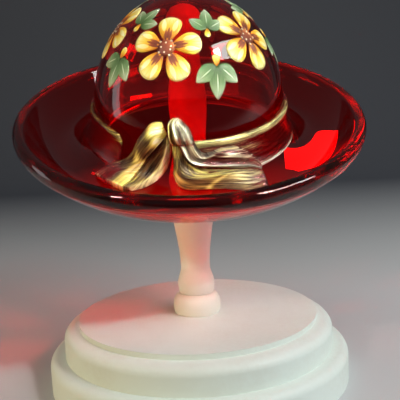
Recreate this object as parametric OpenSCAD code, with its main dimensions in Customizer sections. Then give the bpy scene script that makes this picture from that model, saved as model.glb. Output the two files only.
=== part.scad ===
// Glass hat with a gilded ribbon and bow, resting on a turned wooden stand.
// Millimetres, +Z up, the front of the hat towards -Y.
// The origin is the centre of the base's underside.

/* [Crown] */
// Outer diameter of the crown where its dome begins
crown_d = 111; // [106:1:116]
// Height of the crown's top above the brim's lowest ring
crown_h = 95; // [88:1:102]
// Height above the brim's lowest ring at which the dome begins
dome_z = 29; // [27:1:32]
// Thickness of the crown's wall
crown_wall = 5; // [4:0.5:6]

/* [Brim] */
// Outer diameter of the brim at its lip
brim_d = 206; // [198:1:216]
// Diameter of the brim's lowest ring
brim_low_d = 150; // [144:1:156]
// Thickness of the brim over its lowest ring
brim_wall = 9; // [7:0.5:10]
// Height of the lip's widest ring above the brim's lowest ring
lip_z = 23; // [20:0.5:26]
// Radius of the lip's rounded upper edge
lip_r = 4; // [3:0.25:5]
// Radius of the rounding below the lip
under_r = 9; // [8:0.5:10]
// Slope of the brim's underside below that rounding, in degrees
under_slope = 46; // [40:1:48]

/* [Ribbon band] */
// Height of the band's lower edge above the brim's lowest ring
band_low_z = 14; // [13:0.5:17]
// Height of the band's upper edge above the brim's lowest ring
band_top_z = 34; // [31:0.5:37]
// Thickness of the band between its edges
band_t = 1.8; // [1.2:0.1:2.4]
// How far the band's rolled edges stand out over its middle
band_roll = 0.4; // [0.2:0.1:0.8]
// Width of each rolled edge
band_roll_w = 3; // [2:0.5:4]
// Angle from the front at which the band ends beside the bow's left tail
band_left_end = -40; // [-43:0.5:-39]
// Angle from the front at which the band's other end lies under the knot
band_right_end = -2; // [-4:0.5:-1]

/* [Bow] */
// Height of the bow along the glass, from the knot's top to its lowest tip
bow_h = 48; // [44:0.5:50]
// Height of the bow's folds above the glass
bow_rise = 9; // [7.5:0.25:11]
// Least thickness of the bow's glass
bow_least = 1.2; // [0.8:0.1:1.6]

/* [Post] */
// Height of the post above the base
post_h = 182; // [172:1:195]
// Diameter of the bun foot
bun_d = 28.4; // [24:0.2:32]
// Diameter of the bun foot where it meets the base
bun_low_d = 26.4; // [20:0.2:28]
// Height of the bun foot's widest ring
bun_z = 5; // [4:0.5:7]
// Diameter of the groove above the bun foot
groove_d = 19.4; // [16:0.2:21]
// Height of that groove
groove_z = 12; // [10:0.5:14]
// Diameter of the bead above the groove
bead_d = 21.8; // [21:0.2:24]
// Height of the bead's widest ring
bead_z = 18; // [16:0.5:20]
// Diameter of the waist
waist_d = 17.4; // [14:0.2:20]
// Height of the waist
waist_z = 28; // [25:1:34]
// Diameter of the lower swelling
belly_d = 27; // [22:0.5:30]
// Height of the lower swelling
belly_z = 74; // [66:1:84]
// Diameter of the neck between the two swellings
neck_d = 19.2; // [16:0.2:22]
// Height of that neck
neck_z = 102; // [94:1:110]
// Diameter of the upper swelling
swell_d = 22; // [19:0.5:25]
// Height of the upper swelling
swell_z = 125; // [118:1:132]
// Diameter of the throat below the knob
throat_d = 16; // [13:0.5:18]
// Distance of the throat below the post's top
throat_drop = 26; // [22:1:32]
// Diameter of the knob that carries the hat
knob_d = 21; // [19:0.5:24]
// Distance of the knob's widest ring below the post's top
knob_drop = 11; // [8:0.5:14]

/* [Base] */
// Thickness of the upper disc
upper_t = 19; // [17:0.5:22]
// Diameter of the upper disc's raised flat top
top_d = 142; // [134:1:146]
// Height of the small step round that flat top
step_h = 3; // [2:0.25:4]
// Width of the ledge outside the small step
step_w = 1.5; // [0.5:0.25:2.5]
// Diameter of the upper disc
upper_d = 160; // [156:1:166]
// Height of the upper disc's rounded shoulder
upper_round = 6; // [4:0.5:8]
// Thickness of the lower disc
lower_t = 19; // [17:0.5:22]
// Diameter of the lower disc
lower_d = 178; // [172:1:186]
// Radius of the lower disc's rounded shoulder
lower_round = 5; // [3:0.25:7]

/* [Screw] */
// Diameter of the wood screw's shank
screw_d = 4; // [3.5:0.1:5]
// Length of the screw from the face of its head to its tip
screw_l = 36; // [30:1:40]
// Diameter of the screw's head
screw_head_d = 8; // [7:0.2:9.4]
// Length of the screw's pointed tip
screw_tip = 5; // [3:0.5:6]
// Width of the slot in the head
slot_w = 1.2; // [0.8:0.1:1.4]
// Depth of the slot in the head
slot_depth = 0.9; // [0.6:0.1:1.2]

/* [Set-up] */
// Forward lean of the hat on the post, in degrees
hat_tilt = 23.5; // [16:0.5:27]
// Sideways lean of the hat, towards +X, in degrees
hat_roll = 1.4; // [-3:0.1:3]
// How far the hat sits beside the middle of its knob, towards +X
hat_shift = 1.2; // [-2:0.1:2]
// Gap between the crown's ceiling and the post's knob
rest_gap = 0.3; // [0.2:0.05:0.5]
// Gap between the glass and what is laid on it
seat_gap = 0.25; // [0.15:0.05:0.4]
// Gap between neighbouring pieces of the bow
bow_gap = 0.4; // [0.3:0.05:0.6]
// Clearance round the screw in its holes
screw_gap = 0.1; // [0.05:0.05:0.3]

/* [Hidden] */
$fn = 96;

// Steps along one curve of a profile
curve_steps = 18;
// Steps of a dome, from its top to its foot
dome_steps = 30;
// Steps along and across a piece of the bow
bow_along = 36;
bow_across = 16;
// How far a cut reaches past the face that it starts from
overcut = 1;

ruby = [0.55, 0.02, 0.05, 0.6];
gold = [0.80, 0.66, 0.32];
white_paint = [0.93, 0.93, 0.90];
steel = [0.62, 0.62, 0.64];

// Curves in a plane: arcs of ovals, cubic curves, and joining them end to end
function oval(c, rx, rz, a0, a1, n) =
    [for (i = [0:n]) let (a = a0 + (a1 - a0) * i / n) c + [rx * cos(a), rz * sin(a)]];
function arc(c, r, a0, a1, n) = oval(c, r, r, a0, a1, n);
function cubic(a, b, c, d, n) =
    [for (i = [0:n]) let (t = i / n, u = 1 - t)
        u * u * u * a + 3 * u * u * t * b + 3 * u * t * t * c + t * t * t * d];
function tail(p) = [for (i = [1:len(p) - 1]) p[i]];
// From radius r0 to r1 and height z0 to z1 along half a cosine wave
function ease(r0, z0, r1, z1, n) =
    [for (i = [0:n]) [r0 + (r1 - r0) * (1 - cos(180 * i / n)) / 2, z0 + (z1 - z0) * i / n]];

// Profile of the glass, with the hat standing upright on its brim
crown_r = crown_d / 2;
inner_r = crown_r - crown_wall;
inner_top = crown_h - crown_wall;
brim_r = brim_d / 2;
low_r = brim_low_d / 2;
lip_c = [brim_r - lip_r, lip_z];
lip_start = 150;
lip_in = lip_c + lip_r * [cos(lip_start), sin(lip_start)];
lip_dir = [sin(lip_start), -cos(lip_start)];
brim_span = lip_in[0] - low_r;
flare_span = low_r - crown_r;
under_c = [brim_r - under_r, lip_z];
under_end = under_slope - 90;
under_in = under_c + under_r * [cos(under_end), sin(under_end)];
under_dir = [-cos(under_slope), -sin(under_slope)];
under_span = under_in[0] - low_r;

// How far the handles of the profile's curves reach, as shares of the curves' spans
flare_drop = 0.7;
flare_reach = 0.35;
brim_reach = 0.45;
low_reach = 0.4;
foot_rise = 0.25;

dome_out = oval([0, dome_z], crown_r, crown_h - dome_z, 90, 0, dome_steps);
flare = cubic([crown_r, dome_z], [crown_r, dome_z - flare_drop * (dome_z - brim_wall)],
              [crown_r + flare_reach * flare_span, brim_wall], [low_r, brim_wall], curve_steps);
brim_top = cubic([low_r, brim_wall], [low_r + brim_reach * brim_span, brim_wall],
                 lip_in - brim_reach * brim_span * lip_dir, lip_in, curve_steps);
lip_edge = arc(lip_c, lip_r, lip_start, 0, curve_steps);
under_edge = arc(under_c, under_r, 0, under_end, curve_steps);
under_side = cubic(under_in, under_in + brim_reach * under_span * under_dir,
                   [low_r + low_reach * under_span, 0], [low_r, 0], curve_steps);
hollow_foot = cubic([low_r, 0], [low_r - low_reach * (low_r - inner_r), 0],
                    [inner_r, foot_rise * dome_z], [inner_r, dome_z], curve_steps);
dome_in = oval([0, dome_z], inner_r, inner_top - dome_z, 0, 90, dome_steps);
glass_profile = concat(dome_out, tail(flare), tail(brim_top), tail(lip_edge), tail(under_edge),
                       tail(under_side), tail(hollow_foot), tail(dome_in));

// Seat of the hat: the highest point of the leaning ceiling lies over the knob, hat_shift beside
// its middle
base_h = lower_t + upper_t;
post_top = base_h + post_h;
ceiling_rz = inner_top - dome_z;
up_in_hat = [-sin(hat_roll), cos(hat_roll) * sin(hat_tilt), cos(hat_roll) * cos(hat_tilt)];
ceiling_scale = [inner_r * inner_r, inner_r * inner_r, ceiling_rz * ceiling_rz];
ceiling_reach = [for (i = [0:2]) ceiling_scale[i] * up_in_hat[i]];
ceiling_point = ceiling_reach / sqrt(ceiling_reach * up_in_hat) + [0, 0, dome_z];

module on_post() {
    translate([hat_shift, 0, post_top + rest_gap])
        rotate([hat_tilt, hat_roll, 0])
            translate(-ceiling_point)
                children();
}

// The glass as a ground to lay things on: angle from the front, distance down the profile from
// the dome's foot, and height above the glass
ground_rise = 35;
ground = concat(oval([0, dome_z], crown_r, crown_h - dome_z, ground_rise, 0, curve_steps),
                tail(flare), tail(brim_top));
ground_n = len(ground);
dome_run = [for (i = 0, s = 0; i <= curve_steps; i = i + 1, s = s + norm(ground[i] - ground[i - 1])) s];
ground_s = [for (i = 0, s = -dome_run[curve_steps]; i < ground_n;
                 i = i + 1, s = s + (i < ground_n ? norm(ground[i] - ground[i - 1]) : 0)) s];
function ground_along(i) = ground[min(i + 1, ground_n - 1)] - ground[max(i - 1, 0)];
function ground_normal(i) = let (d = ground_along(i)) [-d[1], d[0]] / norm(d);
ground_r_of = [for (i = [0:ground_n - 1]) [ground_s[i], ground[i][0]]];
ground_z_of = [for (i = [0:ground_n - 1]) [ground_s[i], ground[i][1]]];
normal_r_of = [for (i = [0:ground_n - 1]) [ground_s[i], ground_normal(i)[0]]];
normal_z_of = [for (i = [0:ground_n - 1]) [ground_s[i], ground_normal(i)[1]]];
function on_glass(angle, s, h) =
    let (r = lookup(s, ground_r_of) + h * lookup(s, normal_r_of),
         z = lookup(s, ground_z_of) + h * lookup(s, normal_z_of))
    [r * sin(angle), -r * cos(angle), z];

// The wall that the band lies on: radius, and distance down the profile, at a height
wall_n = len(dome_run) + curve_steps;
wall_r_of = [for (i = [wall_n - 1:-1:0]) [ground[i][1], ground[i][0]]];
wall_s_of = [for (i = [wall_n - 1:-1:0]) [ground[i][1], ground_s[i]]];
band_low_s = lookup(band_low_z, wall_s_of);
band_top_s = lookup(band_top_z, wall_s_of);
band_steps = 24;
front_turn = 90;

// Thickness of the band at a height: plain in the middle, rolled at its edges
function band_out(z) =
    let (d = min(z - band_low_z, band_top_z - z), u = min(1, d / band_roll_w))
    seat_gap + band_t + band_roll * sin(180 * u) * (1 - u / 2) - band_t * pow(1 - u, 4) / 2;

// Height of the bow's underside: over the glass, or over the band with a ramp on every side
ramp_w = 3;
ramp_lead = 1;
ramp_turn = 3;
lead_turn = 1;
function smooth(u) = let (v = max(0, min(1, u))) v * v * (3 - 2 * v);
function bow_seat(angle, s) =
    let (above = smooth((s - band_top_s + ramp_w) / (ramp_w - ramp_lead)),
         below = smooth((band_low_s + ramp_w - s) / (ramp_w - ramp_lead)),
         left = smooth((band_left_end + lead_turn + ramp_turn - angle) / ramp_turn),
         right = smooth((angle - band_right_end + lead_turn + ramp_turn) / ramp_turn))
    seat_gap + (seat_gap + band_t + band_roll) * above * below * max(left, right);

// A smooth curve through a list of points or numbers, at t from 0 to 1
function curve_at(p, t) =
    let (n = len(p) - 1, k = min(n - 1, floor(t * n)), u = t * n - k,
         a = p[max(0, k - 1)], b = p[k], c = p[k + 1], d = p[min(n, k + 2)])
    0.5 * (2 * b + (c - a) * u + (2 * a - 5 * b + 4 * c - d) * u * u
           + (3 * b - a - 3 * c + d) * u * u * u);

// One piece of the bow: a closed shell laid on the glass between two edges, which both run from the
// piece's root to its end. An edge is a list of [angle from the front, hundredths of bow_h down the
// profile]. The relief has rows from root to end, each with heights from the first edge to the second
// in hundredths of bow_rise.
module bow_piece(first, second, relief) {
    na = bow_along;
    nc = bow_across;
    function spot(i, j) =
        let (t = i / na, u = j / nc, g = (1 - u) * curve_at(first, t) + u * curve_at(second, t))
        [g[0], g[1] * bow_h / 100];
    function rise(i, j) =
        bow_rise / 100 * curve_at([for (row = relief) curve_at(row, j / nc)], i / na);
    spots = [for (i = [0:na], j = [0:nc]) [spot(i, j), rise(i, j)]];
    seats = [for (p = spots) bow_seat(p[0][0], p[0][1])];
    low = [for (k = [0:len(spots) - 1]) let (p = spots[k]) on_glass(p[0][0], p[0][1], seats[k])];
    top = [for (k = [0:len(spots) - 1]) let (p = spots[k])
               on_glass(p[0][0], p[0][1], max(p[1], seats[k] + bow_least))];
    m = len(top);
    w = nc + 1;
    cells = [for (i = [0:na - 1], j = [0:nc - 1]) i * w + j];
    rim = concat([for (j = [0:nc - 1]) j], [for (i = [0:na - 1]) i * w + nc],
                 [for (j = [nc:-1:1]) na * w + j], [for (i = [na:-1:1]) i * w]);
    rn = len(rim);
    faces = concat(
        [for (k = cells) each [[k, k + 1, k + w], [k + 1, k + w + 1, k + w]]],
        [for (k = cells) each [[m + k, m + k + w, m + k + 1], [m + k + 1, m + k + w, m + k + w + 1]]],
        [for (k = [0:rn - 1]) let (a = rim[k], b = rim[(k + 1) % rn])
            each [[a, m + a, b], [b, m + a, m + b]]]);
    polyhedron(points = concat(top, low), faces = faces, convexity = 6);
}

// Edges of the bow's pieces. The knot stands on the crown just above the band, and the rest hangs from
// it onto the brim: a leaf-shaped loop and tail on the left, a wavy loop and a broad tail on the right.
gap_angle = bow_gap / crown_r * 180 / PI;
gap_share = 100 * bow_gap / bow_h;
knot_left = [[-8.2, -36.5], [-10.2, -32], [-10.4, -25.5], [-10.2, -18.5], [-9.4, -12]];
knot_right = [[-5.4, -36.5], [-2.4, -31.5], [0, -26.5], [1.6, -19], [2.6, -12.5]];
left_outer = [[-14.5, -31], [-20, -29], [-24, -20], [-28.5, -7], [-32.5, 10], [-39.5, 26],
              [-47.5, 39], [-48.5, 56]];
crease = [[-11.5, -18], [-13.5, -12.5], [-16.5, -5], [-20, 5.5], [-22.5, 17], [-25, 32], [-27, 48],
          [-29, 63]];
left_inner = [[-11, -15], [-9.8, -9.5], [-9.5, -1.5], [-10.2, 9.5], [-12, 23.5], [-16, 36.5],
              [-20.5, 47.5], [-25.5, 57.5]];
right_upper = [[3, -10.5], [4.6, -4], [7.2, 1.5], [11.6, 0.5], [16.2, -2], [21, -2], [26.4, 1.5],
               [31.6, 9.5], [35.6, 19], [37.8, 33]];
right_middle = [[-4.6, -10], [-3, -1.5], [-0.8, 9], [2.2, 16], [6.6, 20], [12, 22.5], [18.4, 26],
                [25, 30.5], [31.8, 36], [36.6, 42]];
right_lower = [[-8.8, -9], [-8.4, 4.5], [-8.2, 19], [-8, 31.5], [-5, 43.5], [-0.4, 48], [7, 48.5],
               [16, 51.5], [25.5, 60], [34.5, 63.5]];

// Relief of the bow's pieces: ribs on the knot, soft folds along the loops and tails
knot_relief = [[50, 60, 64, 66, 66, 66, 64, 60, 50], [58, 96, 86, 108, 92, 106, 86, 94, 58],
               [60, 104, 92, 118, 98, 114, 92, 102, 60], [60, 100, 90, 114, 96, 112, 92, 104, 62],
               [58, 78, 76, 84, 80, 84, 78, 84, 60]];
left_tail_relief = [[42, 62, 70, 66, 52], [45, 84, 95, 88, 74], [47, 68, 90, 94, 76],
                    [36, 46, 66, 82, 68], [32, 36, 42, 48, 42]];
left_loop_relief = [[54, 60, 64, 60, 42], [62, 58, 60, 62, 38], [66, 56, 53, 50, 32],
                    [58, 50, 45, 39, 26], [44, 42, 38, 33, 22]];
right_loop_relief = [[62, 88, 72, 66, 70, 85, 60], [60, 92, 74, 64, 78, 95, 58],
                     [58, 84, 70, 62, 66, 72, 50], [54, 76, 62, 66, 86, 78, 48],
                     [50, 66, 56, 60, 74, 66, 44], [40, 46, 46, 46, 48, 46, 40]];
right_tail_relief = [[52, 70, 74, 72, 62], [48, 80, 84, 74, 62], [40, 80, 86, 72, 60],
                     [32, 78, 78, 66, 58], [28, 76, 70, 62, 56], [26, 62, 90, 70, 56],
                     [24, 50, 68, 78, 52], [22, 36, 46, 52, 44]];

// An edge moved by whole gaps, across and down
function shifted(edge, across, down) =
    [for (e = edge) e + [across * gap_angle, down * gap_share]];

module glass_shell() {
    color(ruby)
        on_post()
            rotate_extrude()
                polygon(glass_profile);
}

module ribbon_band() {
    rise = band_top_z - band_low_z;
    heights = [for (i = [0:band_steps]) band_low_z + rise * i / band_steps];
    inner = [for (z = heights) [lookup(z, wall_r_of) + seat_gap, z]];
    outer = [for (i = [band_steps:-1:0]) let (z = heights[i]) [lookup(z, wall_r_of) + band_out(z), z]];
    color(gold)
        on_post()
            rotate(band_right_end - front_turn)
                rotate_extrude(angle = 360 + band_left_end - band_right_end)
                    polygon(concat(inner, outer));
}

module bow_knot() {
    color(gold)
        on_post()
            bow_piece(knot_left, knot_right, knot_relief);
}

module bow_left_loop() {
    color(gold)
        on_post()
            bow_piece(shifted(crease, 1, 0), left_inner, left_loop_relief);
}

module bow_left_tail() {
    color(gold)
        on_post()
            bow_piece(left_outer, crease, left_tail_relief);
}

module bow_right_loop() {
    color(gold)
        on_post()
            bow_piece(right_middle, right_upper, right_loop_relief);
}

module bow_right_tail() {
    color(gold)
        on_post()
            bow_piece(right_lower, shifted(right_middle, -1, 1), right_tail_relief);
}

// Turned post, from its foot up to the knob
module post() {
    foot_r = bun_low_d / 2;
    bun_r = bun_d / 2;
    groove_r = groove_d / 2;
    bead_r = bead_d / 2;
    throat_z = post_h - throat_drop;
    knob_z = post_h - knob_drop;
    bun_side = oval([foot_r, bun_z], bun_r - foot_r, bun_z, -90, 0, curve_steps);
    bun_top = oval([groove_r, bun_z], bun_r - groove_r, groove_z - bun_z, 0, 90, curve_steps);
    bead_low = oval([groove_r, bead_z], bead_r - groove_r, bead_z - groove_z, -90, 0, curve_steps);
    shaft = concat(ease(bead_r, bead_z, waist_d / 2, waist_z, curve_steps),
                   tail(ease(waist_d / 2, waist_z, belly_d / 2, belly_z, curve_steps)),
                   tail(ease(belly_d / 2, belly_z, neck_d / 2, neck_z, curve_steps)),
                   tail(ease(neck_d / 2, neck_z, swell_d / 2, swell_z, curve_steps)),
                   tail(ease(swell_d / 2, swell_z, throat_d / 2, throat_z, curve_steps)),
                   tail(ease(throat_d / 2, throat_z, knob_d / 2, knob_z, curve_steps)));
    knob = oval([0, knob_z], knob_d / 2, knob_drop, 0, 90, curve_steps);
    pilot_l = screw_l - upper_t + screw_gap;
    color(white_paint)
        translate([0, 0, base_h])
            difference() {
                rotate_extrude()
                    polygon(concat([[0, 0]], bun_side, tail(bun_top), tail(bead_low), tail(shaft),
                                   tail(knob)));
                translate([0, 0, -overcut])
                    cylinder(d = screw_d + 2 * screw_gap, h = pilot_l + overcut);
            }
}

// Upper disc: raised flat top, small step, rounded shoulder and straight side
module base_upper() {
    top_r = top_d / 2;
    ledge_r = top_r + step_w;
    side_r = upper_d / 2;
    shoulder_z = upper_t - step_h - upper_round;
    shoulder = oval([ledge_r, shoulder_z], side_r - ledge_r, upper_round, 0, 90, curve_steps);
    hole_d = screw_d + 2 * screw_gap;
    sink_d = screw_head_d + 2 * screw_gap;
    sink_h = (sink_d - hole_d) / 2;
    color(white_paint)
        translate([0, 0, lower_t])
            difference() {
                rotate_extrude()
                    polygon(concat([[0, 0], [side_r, 0]], shoulder,
                                   [[top_r, upper_t - step_h], [top_r, upper_t], [0, upper_t]]));
                translate([0, 0, -overcut])
                    cylinder(d = hole_d, h = upper_t + 2 * overcut);
                cylinder(d1 = sink_d, d2 = hole_d, h = sink_h);
            }
}

// Lower disc: straight side and rounded shoulder
module base_lower() {
    side_r = lower_d / 2;
    shoulder = arc([side_r - lower_round, lower_t - lower_round], lower_round, 0, 90, curve_steps);
    color(white_paint)
        rotate_extrude()
            polygon(concat([[0, 0], [side_r, 0]], shoulder, [[0, lower_t]]));
}

// Countersunk wood screw, head down, flush with the upper disc's underside
module post_screw() {
    head_h = (screw_head_d - screw_d) / 2;
    color(steel)
        translate([0, 0, lower_t])
            difference() {
                rotate_extrude()
                    polygon([[0, 0], [screw_head_d / 2, 0], [screw_d / 2, head_h],
                             [screw_d / 2, screw_l - screw_tip], [0, screw_l]]);
                translate([-screw_head_d, -slot_w / 2, -overcut])
                    cube([2 * screw_head_d, slot_w, overcut + slot_depth]);
            }
}

glass_shell();
ribbon_band();
bow_knot();
bow_left_loop();
bow_left_tail();
bow_right_loop();
bow_right_tail();
post();
base_upper();
base_lower();
post_screw();
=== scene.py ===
"""Looks of a ruby glass hat with a gilded ribbon and bow, resting on a white turned wooden stand.

Lengths are millimetres in the tables below and metres in the scene, in the frame of the solids:
+Z up, the front of the hat towards -Y, the origin at the centre of the base's underside.
"""
import math

import bpy
import numpy as np
from mathutils import Matrix, Vector

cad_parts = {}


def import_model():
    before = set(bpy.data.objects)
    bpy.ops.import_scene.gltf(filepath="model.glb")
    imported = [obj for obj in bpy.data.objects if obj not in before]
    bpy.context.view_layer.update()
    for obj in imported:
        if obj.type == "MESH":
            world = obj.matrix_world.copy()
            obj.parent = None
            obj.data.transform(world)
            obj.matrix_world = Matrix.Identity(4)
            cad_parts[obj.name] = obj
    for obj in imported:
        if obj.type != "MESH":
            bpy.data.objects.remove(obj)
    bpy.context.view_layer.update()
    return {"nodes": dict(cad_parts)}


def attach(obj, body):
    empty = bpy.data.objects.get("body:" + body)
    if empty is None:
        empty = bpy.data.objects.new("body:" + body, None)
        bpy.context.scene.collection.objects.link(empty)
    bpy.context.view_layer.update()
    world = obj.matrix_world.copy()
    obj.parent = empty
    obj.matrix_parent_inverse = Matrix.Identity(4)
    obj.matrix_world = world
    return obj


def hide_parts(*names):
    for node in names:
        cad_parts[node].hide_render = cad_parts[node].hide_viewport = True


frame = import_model()

# Metres in a millimetre, and millimetres in a centimetre, the unit of the brush directions
MM = 0.001
CM = 10.0

# Crown and brim
CROWN_R = 55.5
CROWN_H = 95.0
DOME_Z = 29.0
CROWN_WALL = 5.0
BRIM_R = 103.0
LOW_R = 75.0
BRIM_WALL = 9.0
LIP_Z = 23.0
LIP_R = 4.0
LIP_START = 150.0
UNDER_R = 9.0
UNDER_SLOPE = 46.0
INNER_R = CROWN_R - CROWN_WALL
INNER_TOP = CROWN_H - CROWN_WALL
DOME_RISE = CROWN_H - DOME_Z

# How far the handles of the profile's curves reach, as shares of the curves' spans
FLARE_DROP = 0.7
FLARE_REACH = 0.35
BRIM_REACH = 0.45
LOW_REACH = 0.4
FOOT_RISE = 0.25

# Set-up of the hat on its post
POST_TOP = 220.0
HAT_TILT = 23.5
HAT_ROLL = 1.4
HAT_SHIFT = 1.2
REST_GAP = 0.3
SEAT_GAP = 0.25

# Ribbon band
BAND_LOW_Z = 14.0
BAND_TOP_Z = 34.0
BAND_T = 1.8
BAND_ROLL = 0.4
BAND_ROLL_W = 3.0
BAND_LEFT_END = -40.0
BAND_RIGHT_END = -2.0

# Bow
BOW_H = 48.0
BOW_RISE = 9.0
BOW_LEAST = 1.2
BOW_GAP = 0.4
# Shares of gold cover and of tone kept at the foot of the bow's walls: less gold there, and painted shade
# darkening the walls towards the glass
BOW_FOOT_GILT = 0.3
BOW_FOOT_SHADED_TONE = 0.6
RAMP_W = 3.0
RAMP_LEAD = 1.0
RAMP_TURN = 3.0
LEAD_TURN = 1.0

# Resolution of the meshes
TURN_STEPS = 192
CURVE_STEPS = 24
DOME_STEPS = 48
BOW_ROWS = 120
BOW_COLS = 56


# Curves in the plane of a profile
def oval(centre, rx, rz, start, end, steps):
    angle = np.radians(np.linspace(start, end, steps + 1))
    return np.stack([centre[0] + rx * np.cos(angle), centre[1] + rz * np.sin(angle)], axis=1)


def cubic(a, b, c, d, steps):
    t = np.linspace(0, 1, steps + 1)[:, None]
    a, b, c, d = (np.array(p, float) for p in (a, b, c, d))
    return (1 - t) ** 3 * a + 3 * (1 - t) ** 2 * t * b + 3 * (1 - t) * t * t * c + t ** 3 * d


def joined(*curves):
    return np.concatenate([curves[0]] + [curve[1:] for curve in curves[1:]])


def turned(angle):
    return np.array([math.cos(math.radians(angle)), math.sin(math.radians(angle))])


def smooth(u):
    v = np.clip(u, 0, 1)
    return v * v * (3 - 2 * v)


def after(x, start, width):
    """0 up to the start, then a soft rise to 1 over the width."""
    return smooth((x - start) / width)


def before(x, end, width):
    """1, with a soft fall to 0 over the width before the end, and 0 from there on."""
    return smooth((end - x) / width)


def hill(x, middle, half):
    return smooth(1 - np.abs(x - middle) / half)


# Profile of the glass, with the hat upright on its brim
lip_c = np.array([BRIM_R - LIP_R, LIP_Z])
lip_in = lip_c + LIP_R * turned(LIP_START)
lip_dir = -turned(LIP_START + 90)
brim_span = lip_in[0] - LOW_R
flare_span = LOW_R - CROWN_R
under_c = np.array([BRIM_R - UNDER_R, LIP_Z])
under_in = under_c + UNDER_R * turned(UNDER_SLOPE - 90)
under_dir = -turned(UNDER_SLOPE)
under_span = under_in[0] - LOW_R

dome_out = oval((0, DOME_Z), CROWN_R, DOME_RISE, 90, 0, DOME_STEPS)
flare = cubic((CROWN_R, DOME_Z), (CROWN_R, DOME_Z - FLARE_DROP * (DOME_Z - BRIM_WALL)),
              (CROWN_R + FLARE_REACH * flare_span, BRIM_WALL), (LOW_R, BRIM_WALL), CURVE_STEPS)
brim_top = cubic((LOW_R, BRIM_WALL), (LOW_R + BRIM_REACH * brim_span, BRIM_WALL),
                 lip_in - BRIM_REACH * brim_span * lip_dir, lip_in, CURVE_STEPS)
lip_edge = oval(lip_c, LIP_R, LIP_R, LIP_START, 0, CURVE_STEPS)
under_edge = oval(under_c, UNDER_R, UNDER_R, 0, UNDER_SLOPE - 90, CURVE_STEPS)
under_side = cubic(under_in, under_in + BRIM_REACH * under_span * under_dir,
                   (LOW_R + LOW_REACH * under_span, 0), (LOW_R, 0), CURVE_STEPS)
hollow_foot = cubic((LOW_R, 0), (LOW_R - LOW_REACH * (LOW_R - INNER_R), 0),
                    (INNER_R, FOOT_RISE * DOME_Z), (INNER_R, DOME_Z), CURVE_STEPS)
dome_in = oval((0, DOME_Z), INNER_R, INNER_TOP - DOME_Z, 0, 90, DOME_STEPS)
glass_profile = joined(dome_out, flare, brim_top, lip_edge, under_edge, under_side, hollow_foot, dome_in)


def hat_matrix():
    """Places the upright hat on its post: the ceiling's highest point lies HAT_SHIFT
    to the right of the knob's top and REST_GAP above it."""
    turn = (Matrix.Rotation(math.radians(HAT_ROLL), 4, "Y")
            @ Matrix.Rotation(math.radians(HAT_TILT), 4, "X"))
    up = turn.to_3x3().transposed() @ Vector((0, 0, 1))
    rise = INNER_TOP - DOME_Z
    reach = Vector((INNER_R ** 2 * up.x, INNER_R ** 2 * up.y, rise ** 2 * up.z))
    ceiling = reach / math.sqrt(reach.dot(up)) + Vector((0, 0, DOME_Z))
    seat = Matrix.Translation((HAT_SHIFT, 0, POST_TOP + REST_GAP))
    return Matrix.Scale(MM, 4) @ seat @ turn @ Matrix.Translation(-ceiling)


HAT = hat_matrix()

# The glass as a ground to lay things on
GROUND_RISE = 35
ground = joined(oval((0, DOME_Z), CROWN_R, DOME_RISE, GROUND_RISE, 0, CURVE_STEPS), flare, brim_top)
ground_s = np.concatenate([[0], np.cumsum(np.hypot(*np.diff(ground, axis=0).T))])
ground_s -= ground_s[CURVE_STEPS]
along = np.gradient(ground, axis=0)
along /= np.hypot(*along.T)[:, None]
ground_n = np.stack([-along[:, 1], along[:, 0]], axis=1)
wall = ground[:2 * CURVE_STEPS + 1]
wall_s = ground_s[:2 * CURVE_STEPS + 1]
band_low_s = np.interp(-BAND_LOW_Z, -wall[:, 1], wall_s)
band_top_s = np.interp(-BAND_TOP_Z, -wall[:, 1], wall_s)


def on_glass(angle, s, height):
    """Points over the glass: degrees from the front, distance down the profile, height above it."""
    r = np.interp(s, ground_s, ground[:, 0]) + height * np.interp(s, ground_s, ground_n[:, 0])
    z = np.interp(s, ground_s, ground[:, 1]) + height * np.interp(s, ground_s, ground_n[:, 1])
    a = np.radians(angle)
    return np.stack([r * np.sin(a), -r * np.cos(a), z], axis=-1)


def bow_seat(angle, s):
    """Height of the bow's underside: over the glass, or over the band with a ramp on every side."""
    above = smooth((s - band_top_s + RAMP_W) / (RAMP_W - RAMP_LEAD))
    below = smooth((band_low_s + RAMP_W - s) / (RAMP_W - RAMP_LEAD))
    left = smooth((BAND_LEFT_END + LEAD_TURN + RAMP_TURN - angle) / RAMP_TURN)
    right = smooth((angle - BAND_RIGHT_END + LEAD_TURN + RAMP_TURN) / RAMP_TURN)
    return SEAT_GAP + (SEAT_GAP + BAND_T + BAND_ROLL) * above * below * np.maximum(left, right)


# Meshes
def mesh_object(name, points, faces, material, place=HAT):
    mesh = bpy.data.meshes.new(name)
    mesh.from_pydata([place @ Vector(p) for p in points], [], faces)
    mesh.validate()
    for face in mesh.polygons:
        face.use_smooth = True
    mesh.materials.append(material)
    piece = bpy.data.objects.new(name, mesh)
    bpy.context.scene.collection.objects.link(piece)
    return piece


def point_values(piece, name, values):
    layer = piece.data.attributes.new(name, "FLOAT", "POINT")
    layer.data.foreach_set("value", np.asarray(values, np.float32).ravel())


def lathe(name, profile, material, steps=TURN_STEPS):
    """Turns a profile of radius and height round the Z axis; a point on the axis is one pole."""
    on_axis = 1e-6
    turn = np.linspace(0, 2 * math.pi, steps, endpoint=False)
    points, rings = [], []
    for r, z in profile:
        first = len(points)
        if r < on_axis:
            points.append((0, 0, z))
            rings.append([first] * steps)
        else:
            points += [(r * math.sin(a), -r * math.cos(a), z) for a in turn]
            rings.append(list(range(first, first + steps)))
    faces = []
    for a, b in zip(rings, rings[1:]):
        for k in range(steps):
            corners = [a[k], b[k], b[(k + 1) % steps], a[(k + 1) % steps]]
            faces.append(list(dict.fromkeys(corners)))
    return mesh_object(name, points, faces, material)


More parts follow.
